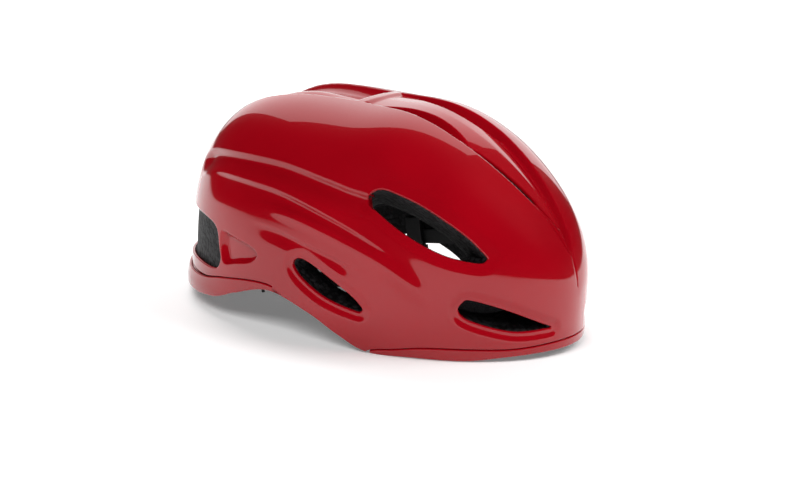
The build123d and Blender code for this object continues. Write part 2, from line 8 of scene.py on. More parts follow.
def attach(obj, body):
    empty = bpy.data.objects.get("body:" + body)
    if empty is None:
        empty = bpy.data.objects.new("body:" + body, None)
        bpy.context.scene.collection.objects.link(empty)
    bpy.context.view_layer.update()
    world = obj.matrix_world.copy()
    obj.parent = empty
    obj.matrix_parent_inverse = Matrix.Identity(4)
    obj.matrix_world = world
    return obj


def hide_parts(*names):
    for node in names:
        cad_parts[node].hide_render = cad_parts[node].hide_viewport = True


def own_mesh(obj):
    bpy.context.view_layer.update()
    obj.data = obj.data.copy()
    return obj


bl_info = {
    "name": "Road cycling helmet",
    "version": (1, 0, 0),
    "blender": (4, 5, 0),
    "location": "View3D > Sidebar > Helmet",
    "description": "Builds a glossy road helmet over its packed frame, with its liner, pads and straps",
    "category": "Object",
}

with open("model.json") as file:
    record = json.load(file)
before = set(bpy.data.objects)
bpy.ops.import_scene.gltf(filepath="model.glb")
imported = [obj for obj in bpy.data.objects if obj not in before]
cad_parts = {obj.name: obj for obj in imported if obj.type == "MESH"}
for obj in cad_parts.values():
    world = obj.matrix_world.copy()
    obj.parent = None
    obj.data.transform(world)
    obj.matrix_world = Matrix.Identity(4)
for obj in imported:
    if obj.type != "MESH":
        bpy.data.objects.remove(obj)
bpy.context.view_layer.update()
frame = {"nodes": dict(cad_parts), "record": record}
MM = 0.001

# ---- Sizes that the frame was made to, in millimetres ------------------------------------------------
FRONT, REAR = 149.2, 146.0
HALF_WIDTH, RISE, DROP, WIDEST_Z = 102.0, 112.5, 88.0, 36.0
NOSE_DOWN = 0.065
STAR = np.array((0.0, 0.0, 45.0))
REACH = math.radians(130)
CAVITY_FRONT, CAVITY_REAR, CAVITY_HALF, CAVITY_TOP, CAVITY_POWER = 112.0, 110.0, 80.0, 121.0, 2.3
PIVOT = (50.0, 0.0, 46.0)
TIP_DOWN = math.radians(10)
BAND_CENTRE_X, CRADLE_R = -22.0, 68.9
BUCKLE_Z = 106.3                # the chin webbing turns down to the buckle's middle
FAR = 15.0                      # distances are not worked out past this far outside a region
GROOVE_DEPTH = 7.5              # of the crescents beside the channel's ridge
TAIL_DEPTH = 7.2                # of the sunk top of the tail
EDGE_ROUND = 0.8                # radius of the shells' edges
LIP = 0.4                       # a shell's edge turns in this far past its thickness
SEAM_GAP = 0.4                  # between the upper shell and a lower shell
UPPER_ONLY = (-24, 44)          # the upper shell reaches the rim between these lengths
LINER_GAP = 0.35                # between a shell and the liner
LINER_EDGE = 1.2                # radius of the liner's edges
PAD_CELL = 0.8                  # spacing of a pad's points
PAD_GAP = 0.3                   # between a pad and its backing
PAD_SPARE = 0.4                 # taken off the depth kept for a pad
PAD_EDGE, PAD_HEM = 1.0, 1.6    # thickness and width of a pad's sewn edge
PAD_CHANNEL = 1.5               # half width of a sewn channel
WEB_WIDTH, WEB_THICK, WEB_SIDES = 15.0, 1.4, 24
WEB_INSET = 2.9                 # the webbing's middle lies this far inside the head space
CHIN_START = 22.0               # the chin webbing's path is worked out from here outwards
CHIN_SPREAD = 39.0              # and this far
CHIN_TURN = 24.4                # it follows the roof outside this
CHIN_DROP = 22.7                # and hangs down to the buckle here
NUDGE = 0.2                     # step for the tangents of a curved backing
FLOOR_HALF, SENSOR = 9, 36      # half the floor's side in metres, the sensor's width in millimetres

# ---- Outlines of a few points ------------------------------------------------------------------------
MID_VENT = ((40, 98), (38.5, 103.5), (43, 107.5), (52, 107), (74, 99), (98, 84.5), (112, 71.5),
            (113.5, 67.5), (109, 66), (90, 70.5), (66, 82), (48, 93))
LOW_VENT = ((-9, 51), (-7, 55.5), (-1, 56), (12, 50.5), (33, 38.5), (42, 31), (42.5, 28), (38, 27.3),
            (16, 33), (-2, 43))
FRONT_VENT = ((18, 34), (20, 39.5), (26, 41.5), (50, 34.5), (78, 23), (83, 20.5), (78, 19.8), (54, 20),
              (26, 27.5))
FRONT_VENT_PLANE = ((66.0, 64.0), (0.69, 0.72))
TAIL_PORT = ((-185, 66), (-120, 66), (-93, 65), (-81, 61), (-77, 50), (-75, 40), (-82, 33), (-110, 32),
             (-185, 32))
SIDE_HOLLOW = ((-75, 60), (-60, 60), (-44, 57), (-38, 52), (-44, 46), (-58, 42), (-72, 40))
RIM = ((-180, 9.5), (-118, 9.5), (-82, 13), (-60, 21), (-28, 30), (4, 21), (27, 9), (46, 0.5), (76, 0.5),
       (106, 0.5), (130, 3.5), (175, 7))
REAR_SEAM = ((-180, 22), (-104, 23), (-74, 28.5), (-48, 33), (-30, 34), (-18, 31), (-8, 24), (0, 10))
FRONT_SEAM = ((36, -6), (48, 2), (64, 5), (83, 8), (108, 8.5), (130, 8.5), (150, 11), (175, 14))
CHANNEL_EDGE = ((-16, 22), (0, 24.5), (20, 25.8), (50, 26.6), (70, 25.6), (90, 22), (108, 17.2), (122, 12.2),
                (133, 7.8), (139, 5.2), (143, 0.5))
SPINE_EDGE = ((-16, 20), (2, 22), (12, 18), (26, 13.5), (42, 11.5), (56, 12.5), (68, 16), (78, 22),
              (86, 28), (145, 30))
TAIL_EDGE = ((-150, 30), (-110, 32), (-80, 31), (-60, 28), (-40, 25.5), (-12, 23))
UPPER_LINE = ((-122, 96), (-106, 106), (-90, 110.5), (-60, 113.5), (-27, 113.5), (8, 108.5), (27, 105),
              (44, 103))
LOWER_LINE = ((-96, 96), (-75, 98), (-50, 98), (-25, 96), (5, 89), (33, 80), (62, 67))
BULGE_LINE = ((-60, 86), (-23, 84), (6, 79), (34, 71), (60, 58), (88, 38))
FINE_LINE = ((-55, 74), (-23, 72), (0, 67), (24, 61), (40, 56))


# ---- Curves and surfaces -----------------------------------------------------------------------------
def mix(a, b, share):
    """Value that lies a share of the way from a to b."""
    return a + (b - a) * share


def ramp(value, start, end):
    """0 at start and 1 at end, with soft ends."""
    t = np.clip((value - start) / (end - start), 0.0, 1.0)
    return t * t * (3 - 2 * t)


def spline(points, steps, closed):
    """Points along a smooth curve through a few points."""
    p = np.array(points, float)
    if closed:
        p = np.vstack((p[-1], p, p[:2]))
    else:
        p = np.vstack((2 * p[0] - p[1], p, 2 * p[-1] - p[-2]))
    t = np.linspace(0, 1, steps, endpoint=False)[:, None]
    runs = []
    for a, b, c, d in zip(p, p[1:], p[2:], p[3:]):
        runs.append(0.5 * (2 * b + (c - a) * t + (2 * a - 5 * b + 4 * c - d) * t ** 2
                           + (3 * b - a - 3 * c + d) * t ** 3))
    if not closed:
        runs.append(p[-2][None])
    return np.vstack(runs)


def follow(points, x):
    """Height at x of a smooth curve through a few points."""
    line = spline(points, 12, False)
    return np.interp(x, line[:, 0], line[:, 1])


def ring_distance(points, u, v):
    """Distance inside a smooth closed outline: positive inside it, negative outside."""
    line = spline(points, 10, True)
    low, high = line.min(0) - FAR, line.max(0) + FAR
    near = (u > low[0]) & (u < high[0]) & (v > low[1]) & (v < high[1])
    value = np.full(u.shape, -FAR)
    px, py = u[near][:, None], v[near][:, None]
    best = np.full(len(px), 1e9)
    odd = np.zeros(len(px), bool)
    for (ax, ay), (bx, by) in zip(line, np.roll(line, -1, 0)):
        dx, dy = bx - ax, by - ay
        t = np.clip(((px - ax) * dx + (py - ay) * dy) / (dx * dx + dy * dy), 0, 1)
        best = np.minimum(best, np.hypot(px - ax - t * dx, py - ay - t * dy)[:, 0])
        if ay != by:
            odd ^= (((ay > py) != (by > py)) & (px < dx * (py - ay) / dy + ax))[:, 0]
    value[near] = np.maximum(np.where(odd, best, -best), -FAR)
    return value


def outer_test(p):
    """Negative inside the smooth helmet body, positive outside it."""
    x, y, z = p.T
    forward = 0.5 + 0.5 * np.tanh(x / 45)
    along = x / mix(REAR, FRONT, forward)
    past = np.abs(along) > 0.9999
    size = np.minimum(np.abs(along), 0.9999)
    rise = RISE * (1 - size ** mix(3.8, 2.1, forward)) ** (1 / 1.9) * (1 - NOSE_DOWN * along)
    rise = rise * (1 + 0.022 * np.exp(-((x - 40) / 40) ** 2) - 0.035 * ramp(x, 70, 130))
    half = HALF_WIDTH * (1 - size ** 2.2) ** (1 / 1.9) * (1 - 0.05 * along)
    up = (z - WIDEST_Z) / np.where(z > WIDEST_Z, rise, DROP)
    return np.where(past, 5.0, np.abs(y / half) ** 2.7 + np.abs(up) ** 2.7 - 1)


def cavity_shares(x, z):
    """The parts that length and height add to the head space's equation."""
    up = np.maximum(z - WIDEST_Z, 0) / (CAVITY_TOP - WIDEST_Z)
    reach = np.where(x > 0, CAVITY_FRONT, CAVITY_REAR)
    return np.abs(x / reach) ** CAVITY_POWER, up ** CAVITY_POWER


def cavity_test(p):
    """Negative inside the head space, whose walls drop straight below the widest level."""
    x, y, z = p.T
    along, up = cavity_shares(x, z)
    return along + np.abs(y / CAVITY_HALF) ** CAVITY_POWER + up - 1


def surface(ways, test):
    """Where lines from the star point meet a surface."""
    low, high = np.full(len(ways), 20.0), np.full(len(ways), 300.0)
    for _ in range(34):
        middle = (low + high) / 2
        within = test(STAR + middle[:, None] * ways) < 0
        low, high = np.where(within, middle, low), np.where(within, high, middle)
    return STAR + low[:, None] * ways


def unit(v):
    """Vectors of length one."""
    return v / np.maximum(np.linalg.norm(v, axis=-1, keepdims=True), 1e-9)


# ---- Regions of the shells, measured on the smooth body ----------------------------------------------
def vent_distance(p):
    """Distance inside the side and front vents."""
    x, y, z = p.T
    side = np.abs(y)
    (x0, s0), (ux, us) = FRONT_VENT_PLANE
    along = (x - x0) * ux + (s0 - side) * us
    on_side = np.where(side > 25, 0.0, -FAR)
    at_front = np.where((x > 60) & (along < 92), 0.0, -FAR)
    return np.maximum.reduce([
        ring_distance(MID_VENT, x, z) + on_side,
        ring_distance(LOW_VENT, x, z) + on_side,
        ring_distance(FRONT_VENT, along, z) + at_front,
    ])


def slot_distance(p):
    """Distance inside the narrow slots at the foot of the centre channel's walls."""
    x, y, z = p.T
    middle = follow(CHANNEL_EDGE, x) - 6.6
    half = 2.2 * np.sqrt(np.clip(1 - ((x - 99) / 22) ** 2, 0, 1))
    return np.where((z > 60) & (x > 60), half - np.abs(np.abs(y) - middle), -FAR)


def port_distance(p):
    """Distance inside the opening round the tail, where the liner shows."""
    return ring_distance(TAIL_PORT, p[:, 0], p[:, 2])


def open_distance(p):
    """Distance inside the vents and the channel's slots."""
    return np.maximum(vent_distance(p), slot_distance(p))


def above_rim(p):
    """Height above the lower edge of the helmet."""
    return p[:, 2] - follow(RIM, p[:, 0])


def rear_zone(p):
    """Distance inside the rear lower shell, below its seam."""
    x, z = p[:, 0], p[:, 2]
    return np.minimum(follow(REAR_SEAM, x) - z, -4 - x)


def front_zone(p):
    """Distance inside the front lower shell, below its seam."""
    x, z = p[:, 0], p[:, 2]
    return np.minimum(follow(FRONT_SEAM, x) - z, x - 38)


# ---- Relief: how far the moulded surface lies under the smooth body ----------------------------------
def channel_relief(p, depth):
    """The centre channel: its floor falls away from a middle ridge, and a crescent groove runs each side."""
    x, y, z = p.T
    side = np.abs(y)
    crease = follow(CHANNEL_EDGE, x)
    inside = np.minimum(crease - side, x + 7.5)
    wall = ramp(inside, -0.7, mix(3.4, 2.2, ramp(x, 60, 90)))
    fall = mix(0.8, 4.6, ramp(x, 34, 84))
    floor = 1.4 + fall * np.clip(side / np.maximum(crease, 1.0), 0, 1) ** 1.25
    groove = ramp(side - follow(SPINE_EDGE, x), -0.6, 2.4)
    down = mix(floor, np.maximum(GROOVE_DEPTH, floor), groove) * wall * depth
    return np.where((z > 44) & (x > -9), down, 0.0)


def tail_relief(p, depth):
    """The sunk top behind the channel, shallower along its middle."""
    x, y, z = p.T
    side = np.abs(y)
    inside = np.minimum(follow(TAIL_EDGE, x) - side, -13.5 - x)
    wall = 1 - (1 - np.clip(inside / 9, 0, 1)) ** 2
    middle = mix(1.0, 0.55, ramp(side, 16, 0) * ramp(x, -25, -70))
    return np.where((z > 74) & (x < -13), TAIL_DEPTH * depth * wall * middle * ramp(x, -150, -120), 0.0)


def line_relief(p):
    """Steps and ridges that run along the sides."""
    x, _, z = p.T
    under_upper = follow(UPPER_LINE, x) - z
    reach = ramp(x, -120, -106) * ramp(x, 46, 36)
    down = 3.6 * reach * ramp(under_upper, -0.9, 2.1) * ramp(under_upper, 17, 3)
    under_lower = follow(LOWER_LINE, x) - z
    reach = ramp(x, -98, -78) * ramp(x, 66, 25)
    down += 2.6 * reach * ramp(under_lower, -0.8, 1.9) * ramp(under_lower, 20, 3)
    bulge = (follow(BULGE_LINE, x) - z) / mix(4.0, 7.5, ramp(x, -30, 70))
    down -= 2.6 * ramp(x, -50, -5) * ramp(x, 92, 60) * np.exp(-bulge ** 2)
    under_fine = follow(FINE_LINE, x) - z
    reach = ramp(x, -50, -15) * ramp(x, 44, 20)
    down += 1.4 * reach * ramp(under_fine, -0.8, 1.9) * ramp(under_fine, 12, 2)
    hollow = ring_distance(SIDE_HOLLOW, x, z)
    down += 4.5 * ramp(hollow, 0, 3.2)
    return down


def vent_dish(p):
    """The shells dip a little towards the vents."""
    return 1.3 * ramp(vent_distance(p), -7.5, -1.0)


def shell_relief(p, depth):
    """All the relief of the upper shell."""
    return channel_relief(p, depth) + tail_relief(p, depth) + line_relief(p) + vent_dish(p)


# ---- Mesh building -----------------------------------------------------------------------------------
def dome_grid(count):
    """Directions spread over the dome without a pole, and the four-sided faces between them."""
    line = np.linspace(-1, 1, count + 1)
    a, b = np.meshgrid(line, line, indexing="ij")
    x, y = a * np.sqrt(1 - b * b / 2), b * np.sqrt(1 - a * a / 2)
    spread = np.hypot(x, y)
    scale = np.where(spread > 1e-9, np.sin(REACH * spread) / np.maximum(spread, 1e-9), REACH)
    ways = np.stack((scale * x, scale * y, np.cos(REACH * spread)), -1).reshape(-1, 3)
    row = np.arange(count * (count + 1)).reshape(count, count + 1)[:, :-1].ravel()
    quads = np.stack((row, row + count + 1, row + count + 2, row + 1), 1)
    return ways, quads


def crossing(ways, ends, values, field):
    """Directions where a field is nought on the edges that it crosses."""
    a, b = ways[ends[:, 0]], ways[ends[:, 1]]
    fa, fb = values[ends[:, 0]], values[ends[:, 1]]
    for _ in range(4):
        t = np.clip(fa / (fa - fb), 0.02, 0.98)[:, None]
        middle = unit(a + (b - a) * t)
        fm = field(middle)
        same = (fm > 0) == (fa > 0)
        a, fa = np.where(same[:, None], middle, a), np.where(same, fm, fa)
        b, fb = np.where(same[:, None], b, middle), np.where(same, fb, fm)
    return middle


def trimmed(ways, quads, field):
    """Keep the faces where a field is positive, and cut the ones that its edge crosses."""
    values = field(ways)
    values = np.where(np.abs(values) < 0.03, 0.03, values)
    inside = values > 0
    count = inside[quads].sum(1)
    whole = quads[count == 4]
    split = quads[(count > 0) & (count < 4)]
    triangles = np.vstack((split[:, [0, 1, 2]], split[:, [0, 2, 3]]))
    count = inside[triangles].sum(1)
    kept = triangles[count == 3]
    cut = triangles[(count == 1) | (count == 2)]
    flags = inside[cut]
    odd = np.where(flags.sum(1) == 1, flags.argmax(1), (~flags).argmax(1))
    cut = cut[np.arange(len(cut))[:, None], (odd[:, None] + np.arange(3)) % 3]
    ends = np.sort(np.vstack((cut[:, :2], cut[:, ::2])), 1)
    ends, index = np.unique(ends, axis=0, return_inverse=True)
    index = index.ravel() + len(ways)
    ways = np.vstack((ways, crossing(ways, ends, values, field)))
    first, second = index[:len(cut)], index[len(cut):]
    lone = inside[cut[:, 0]]
    corner = np.stack((cut[:, 0], first, second), 1)[lone]
    far = ~lone
    one = np.stack((first, cut[:, 1], cut[:, 2]), 1)[far]
    two = np.stack((first, cut[:, 2], second), 1)[far]
    triangles = np.vstack((kept, corner, one, two))
    used = np.zeros(len(ways), bool)
    used[whole.ravel()] = True
    used[triangles.ravel()] = True
    place = np.cumsum(used) - 1
    return ways[used], place[whole], place[triangles]


def open_edges(quads, triangles):
    """Edges that only one face uses, in that face's order."""
    edges = np.vstack([quads[:, [i, (i + 1) % 4]] for i in range(4)]
                      + [triangles[:, [i, (i + 1) % 3]] for i in range(3)])
    size = edges.max() + 1
    key, back = edges[:, 0] * size + edges[:, 1], edges[:, 1] * size + edges[:, 0]
    return edges[~np.isin(key, back)]


def point_normals(points, quads, triangles):
    """Outward directions at the points, from the faces round each."""
    normals = np.zeros_like(points)
    for faces in (quads, triangles):
        a, b, c = points[faces[:, 0]], points[faces[:, 1]], points[faces[:, -1]]
        across = np.cross(b - a, c - a)
        for k in range(faces.shape[1]):
            np.add.at(normals, faces[:, k], across)
    return unit(normals)


def slope_out(points, normals, field):
    """Direction in the surface in which a field falls away."""
    step = 0.05
    base = field(points)
    slope = np.stack([(field(points + step * axis) - base) / step for axis in np.eye(3)], 1)
    out = -slope + (slope * normals).sum(1)[:, None] * normals
    return unit(out)


def new_piece(name, points, faces, material, body, nodes, sharp=75.0):
    """Object from points in millimetres and groups of faces, riding on a body."""
    mesh = bpy.data.meshes.new(name)
    faces = [np.asarray(group, np.int32) for group in faces if len(group)]
    sizes = np.concatenate([np.full(len(group), group.shape[1], np.int32) for group in faces])
    corners = np.concatenate([group.ravel() for group in faces])
    mesh.vertices.add(len(points))
    mesh.vertices.foreach_set("co", (np.asarray(points) * MM).astype(np.float32).ravel())
    mesh.loops.add(len(corners))
    mesh.loops.foreach_set("vertex_index", corners)
    mesh.polygons.add(len(sizes))
    mesh.polygons.foreach_set("loop_start", np.concatenate(([0], np.cumsum(sizes)[:-1])).astype(np.int32))
    mesh.polygons.foreach_set("use_smooth", np.ones(len(sizes), bool))
    mesh.update(calc_edges=True)
    mesh.validate()
    mesh.set_sharp_from_angle(angle=math.radians(sharp))
    piece = bpy.data.objects.new(name, mesh)
    bpy.context.scene.collection.objects.link(piece)
    mesh.materials.append(material)
    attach(piece, body)
    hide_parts(*nodes)
    return piece


def stitched(outer, inner, quads, triangles, rings):
    """Points and faces of a closed solid: two like sheets and the rings that join their open edges."""
    edges = open_edges(quads, triangles)
    border, index = np.unique(edges, return_inverse=True)
    index = index.reshape(edges.shape)
    count = len(outer)
    points = [outer, inner, *rings]
    faces = [quads, triangles, quads[:, ::-1] + count, triangles[:, ::-1] + count]
    starts = [border[index]]
    for k in range(len(rings)):
        starts.append(2 * count + k * len(border) + index)
    starts.append(border[index] + count)
    walls = []
    for top, low in zip(starts, starts[1:]):
        walls.append(np.stack((top[:, 1], top[:, 0], low[:, 0], low[:, 1]), 1))
    return np.vstack(points), faces[::2] + walls + faces[1::2]


def shell_solid(field, outer_of, inner_of, edge_depth, count):
    """Thin shell with rounded edges that turn in at its openings."""
    ways, quads = dome_grid(count)
    ways, quads, triangles = trimmed(ways, quads, lambda w: field(surface(w, outer_test)))
    base = surface(ways, outer_test)
    outer, inner = outer_of(base, ways), inner_of(base, ways)
    normals = point_normals(outer, quads, triangles)
    border = np.unique(open_edges(quads, triangles))
    n, p = normals[border], outer[border]
    e = slope_out(base[border], n, field)
    depth = edge_depth(base[border])[:, None]
    r = EDGE_ROUND
    rings = []
    for turn in (30, 60, 90):
        t = math.radians(turn)
        rings.append(p + e * r * math.sin(t) - n * r * (1 - math.cos(t)))
    rings.append(p + e * r - n * (r + (depth - r) * 0.9))
    rings.append(p + e * (r - 0.25) - n * depth)
    rings.append(p + e * 0.2 - n * depth)
    return stitched(outer, inner, quads, triangles, rings)


# ---- Materials ---------------------------------------------------------------------------------------
class Flow:
    """A socket in a material whose sums and products add Math nodes."""

    def __init__(self, finish, socket):
        self.finish = finish
        self.socket = socket

    def _with(self, operation, *values):
        return self.finish.node("ShaderNodeMath", {"operation": operation}, *values)

    def __add__(self, other):
        return self._with("ADD", self, other)

    def __radd__(self, other):
        return self._with("ADD", other, self)

    def __sub__(self, other):
        return self._with("SUBTRACT", self, other)

    def __rsub__(self, other):
        return self._with("SUBTRACT", other, self)

    def __mul__(self, other):
        return self._with("MULTIPLY", self, other)

    def __rmul__(self, other):
        return self._with("MULTIPLY", other, self)

    def over(self, start, end):
        """0 to 1 as the value goes from start to end."""
        settings = {"clamp": True, "interpolation_type": "SMOOTHSTEP"}
        return self.finish.node("ShaderNodeMapRange", settings, self, start, end, 0.0, 1.0)


class Finish:
    """One material's nodes, ending in a Principled shader."""

    def __init__(self, name, **constants):
        self.material = bpy.data.materials.new(name)
        self.material.use_nodes = True
        self.tree = self.material.node_tree
        self.shader = self.tree.nodes["Principled BSDF"]
        for key, value in constants.items():
            self.shader.inputs[key.replace("_", " ")].default_value = value

    def node(self, kind, settings, *values, out=0, **named):
        """Add a node: its settings first, then the values or links of its sockets."""
        node = self.tree.nodes.new(kind)
        for key, value in settings.items():
            setattr(node, key, value)
        pairs = list(enumerate(values)) + [(key.replace("_", " "), value) for key, value in named.items()]
        for key, value in pairs:
            if isinstance(value, Flow):
                self.tree.links.new(value.socket, node.inputs[key])
            elif value is not None:
                node.inputs[key].default_value = value
        return Flow(self, node.outputs[out])

    def place(self):
        """Where a point lies on its piece."""
        return self.node("ShaderNodeTexCoord", {}, out="Object")

    def uv(self):
        """Where a point lies along and across the webbing."""
        return self.node("ShaderNodeTexCoord", {}, out="UV")

    def noise(self, place, scale, detail, rough=0.5):
        return self.node("ShaderNodeTexNoise", {}, Vector=place, Scale=scale, Detail=detail,
                         Roughness=rough)

    def cells(self, place, scale, out="Distance"):
        return self.node("ShaderNodeTexVoronoi", {}, Vector=place, Scale=scale, out=out)

    def blend(self, share, a, b):
        """Mix of two colours, whose sockets come after five for numbers and vectors."""
        ends = [end if isinstance(end, Flow) else (*end, 1.0) for end in (a, b)]
        return self.node("ShaderNodeMix", {"data_type": "RGBA"}, share, *[None] * 5, *ends, out=2)

    def feed(self, key, flow):
        """Link a value or colour that changes over the surface."""
        self.tree.links.new(flow.socket, self.shader.inputs[key])

    def bump(self, height, strength, distance):
        return self.node("ShaderNodeBump", {}, Strength=strength, Distance=distance, Height=height)


def toned(colour, share):
    """A colour made darker or lighter."""
    return tuple(c * share for c in colour)


def red_gloss():
    look = bpy.context.scene.helmet_finish
    f = Finish("red_clear_coat", Coat_Weight=1.0, Coat_Roughness=look.coat_roughness, Coat_IOR=1.5,
               IOR=1.45, Specular_IOR_Level=0.05)
    place = f.place()
    cloud = f.noise(place, 9.0, 2.0)
    fine = f.noise(place, 420.0, 2.0)
    red = tuple(look.shell_colour)
    f.feed("Base Color", f.blend(cloud.over(0.35, 0.68), toned(red, 0.86), red))
    f.feed("Roughness", 0.3 + 0.1 * fine)
    peel = f.noise(place, 130.0, 1.0)
    f.feed("Normal", f.bump(peel, 0.02, 0.0004))
    return f.material


def bead_foam():
    look = bpy.context.scene.helmet_finish
    f = Finish("bead_foam", Specular_IOR_Level=0.4)
    place = f.place()
    wobble = f.node("ShaderNodeVectorMath", {"operation": "MULTIPLY_ADD"},
                    f.node("ShaderNodeTexNoise", {}, Vector=place, Scale=300.0, out="Color"),
                    (0.0012, 0.0012, 0.0012), place)
    pitch = 1 / (look.bead_size * 1.35)
    beads = f.cells(wobble, pitch)
    tint = f.node("ShaderNodeSeparateColor", {}, f.cells(wobble, pitch, out="Color"))
    grain = f.noise(place, 2600.0, 2.0)
    seam = beads.over(0.42, 0.66)
    base = look.foam_colour
    shade = f.blend(tint.over(0.0, 1.0) * 0.8 + grain * 0.2, toned(base, 0.45), toned(base, 1.9))
    # Per-bead tone, darkened to a quarter along the seams between the beads: partly the real gaps between
    # them, partly painted shade in them.
    f.feed("Base Color", f.blend(seam, shade, toned(base, 0.25)))
    f.feed("Roughness", 0.5 + 0.3 * grain)
    height = 1.0 - seam * 0.9 + grain * 0.12
    f.feed("Normal", f.bump(height, 0.7, 0.0006))
    return f.material


def moulded_plastic(name, colour, rough, grain_size):
    f = Finish(name, Specular_IOR_Level=0.5)
    place = f.place()
    grain = f.noise(place, grain_size, 2.0)
    patches = f.noise(place, 40.0, 3.0)
    f.feed("Base Color", f.blend(patches.over(0.3, 0.7), toned(colour, 0.8), toned(colour, 1.25)))
    f.feed("Roughness", rough + 0.18 * patches)
    f.feed("Normal", f.bump(grain, 0.22, 0.00012))
    return f.material


def grip_rubber():
    f = Finish("grip_rubber", Specular_IOR_Level=0.3)
    place = f.place()
    grain = f.noise(place, 5200.0, 2.0)
    dust = f.noise(place, 70.0, 4.0)
    f.feed("Base Color", f.blend(dust.over(0.45, 0.8), (0.018, 0.018, 0.019), (0.045, 0.044, 0.044)))
    f.feed("Roughness", 0.68 + 0.2 * dust)
    f.feed("Normal", f.bump(grain, 0.35, 0.0001))
    return f.material


def knit_pad():
    look = bpy.context.scene.helmet_finish
    f = Finish("knit_pad", Sheen_Weight=0.35, Sheen_Roughness=0.5, Specular_IOR_Level=0.15)
    place = f.place()
    fuzz = f.noise(place, 1500.0, 4.0, 0.65)
    loops = f.cells(place, 950.0)
    patches = f.noise(place, 55.0, 2.0)
    base = tuple(look.pad_colour)
    # Lighter at the middles of the knit's loops and darker between them, following the loops' relief in the
    # bump: painted shade on the knit.
    shade = f.blend(loops.over(0.15, 0.75), toned(base, 1.5), toned(base, 0.5))
    f.feed("Base Color", f.blend(patches.over(0.3, 0.75) * 0.5, shade, toned(base, 1.8)))
    f.feed("Roughness", 0.8 + 0.15 * fuzz)
    f.feed("Normal", f.bump(fuzz * 0.6 + (1.0 - loops) * 0.6, 0.5, 0.0003))
    return f.material


def woven_webbing():
    look = bpy.context.scene.helmet_finish
    f = Finish("woven_webbing", Sheen_Weight=0.15, Sheen_Roughness=0.4, Specular_IOR_Level=0.3)
    place = f.uv()
    pitch = 1 / look.weave_pitch
    warp, weft = [f.node("ShaderNodeTexWave", {"bands_direction": way, "wave_profile": "SIN"},
                         Vector=place, Scale=pitch / 6.0, Distortion=0.0) for way in "YX"]
    checks = f.node("ShaderNodeTexChecker", {}, Vector=place, Scale=pitch, out="Fac")
    fibre = f.noise(f.place(), 2400.0, 3.0)
    height = checks * warp + (1.0 - checks) * weft
    base = tuple(look.webbing_colour)
    # Colour follows the weave's height, lighter on the raised yarns and darker between them: painted light
    # and shade on the weave's relief.
    f.feed("Base Color", f.blend(height, toned(base, 0.5), toned(base, 1.7)))
    f.feed("Roughness", 0.55 + 0.25 * fibre)
    f.feed("Normal", f.bump(height + fibre * 0.2, 0.6, 0.0003))
    return f.material


def paper_floor():
    f = Finish("paper_floor", Specular_IOR_Level=0.0, Emission_Color=(1.0, 1.0, 1.0, 1.0),
               Emission_Strength=0.18)
    look = bpy.context.scene.helmet_stage
    place = f.place()
    fibre = f.noise(place, 60.0, 4.0)
    pale = tuple(look.floor_colour)
    f.feed("Base Color", f.blend(fibre, toned(pale, 0.985), pale))
    f.feed("Roughness", 0.85 + 0.1 * fibre)
    return f.material


MAKERS = {
    "red": red_gloss,
    "foam": bead_foam,
    "pad": knit_pad,
    "webbing": woven_webbing,
    "rubber": grip_rubber,
    "nylon": lambda: moulded_plastic("nylon_band", (0.022, 0.022, 0.023), 0.38, 2600.0),
    "plastic": lambda: moulded_plastic("textured_plastic", (0.03, 0.03, 0.031), 0.5, 3200.0),
    "paper": paper_floor,
}
FINISHES = {}


def finish(name):
    """A material by name, made when it is first asked for."""
    if name not in FINISHES:
        FINISHES[name] = MAKERS[name]()
    return FINISHES[name]


# ---- Settings that a user may change -----------------------------------------------------------------
class HelmetShape(bpy.types.PropertyGroup):
    cells: bpy.props.IntProperty(name="Shell detail", description="Cells across the shell", default=580)
    foam_cells: bpy.props.IntProperty(name="Liner detail", description="Cells across the liner", default=260)
    channel_depth: bpy.props.FloatProperty(
        name="Channel depth", description="Depth of the centre channel against its usual depth",
        default=1.0)
    shell_thick: bpy.props.FloatProperty(
        name="Shell thickness", description="Thickness of the moulded shells, in millimetres", default=1.6)
    vent_return: bpy.props.FloatProperty(
        name="Vent return", description="How far the shell turns in at the vents, in millimetres",
        default=4.0)
    rear_flare: bpy.props.FloatProperty(
        name="Rear flare", description="How far the rear lower shell stands out, in millimetres",
        default=3.3)
    pad_thick: bpy.props.FloatProperty(
        name="Pad depth", description="Depth kept for a pad at its middle, in millimetres", default=5.0)


class HelmetFinish(bpy.types.PropertyGroup):
    shell_colour: bpy.props.FloatVectorProperty(
        name="Shell colour", description="Colour under the clear coat", subtype="COLOR",
        default=(0.37, 0.0009, 0.007))
    coat_roughness: bpy.props.FloatProperty(
        name="Coat roughness", description="Roughness of the clear coat", default=0.03, subtype="FACTOR")
    foam_colour: bpy.props.FloatVectorProperty(
        name="Foam colour", description="Colour of the liner", subtype="COLOR",
        default=(0.014, 0.0135, 0.0145))
    bead_size: bpy.props.FloatProperty(
        name="Bead size", description="Size of the foam's beads", default=0.0024, subtype="DISTANCE",
        unit="LENGTH")
    pad_colour: bpy.props.FloatVectorProperty(
        name="Pad colour", description="Colour of the knit pads", subtype="COLOR",
        default=(0.028, 0.028, 0.031))
    webbing_colour: bpy.props.FloatVectorProperty(
        name="Webbing colour", description="Colour of the straps", subtype="COLOR",
        default=(0.022, 0.022, 0.024))
    weave_pitch: bpy.props.FloatProperty(
        name="Weave pitch", description="Width of one yarn", default=0.0011, subtype="DISTANCE",
        unit="LENGTH")


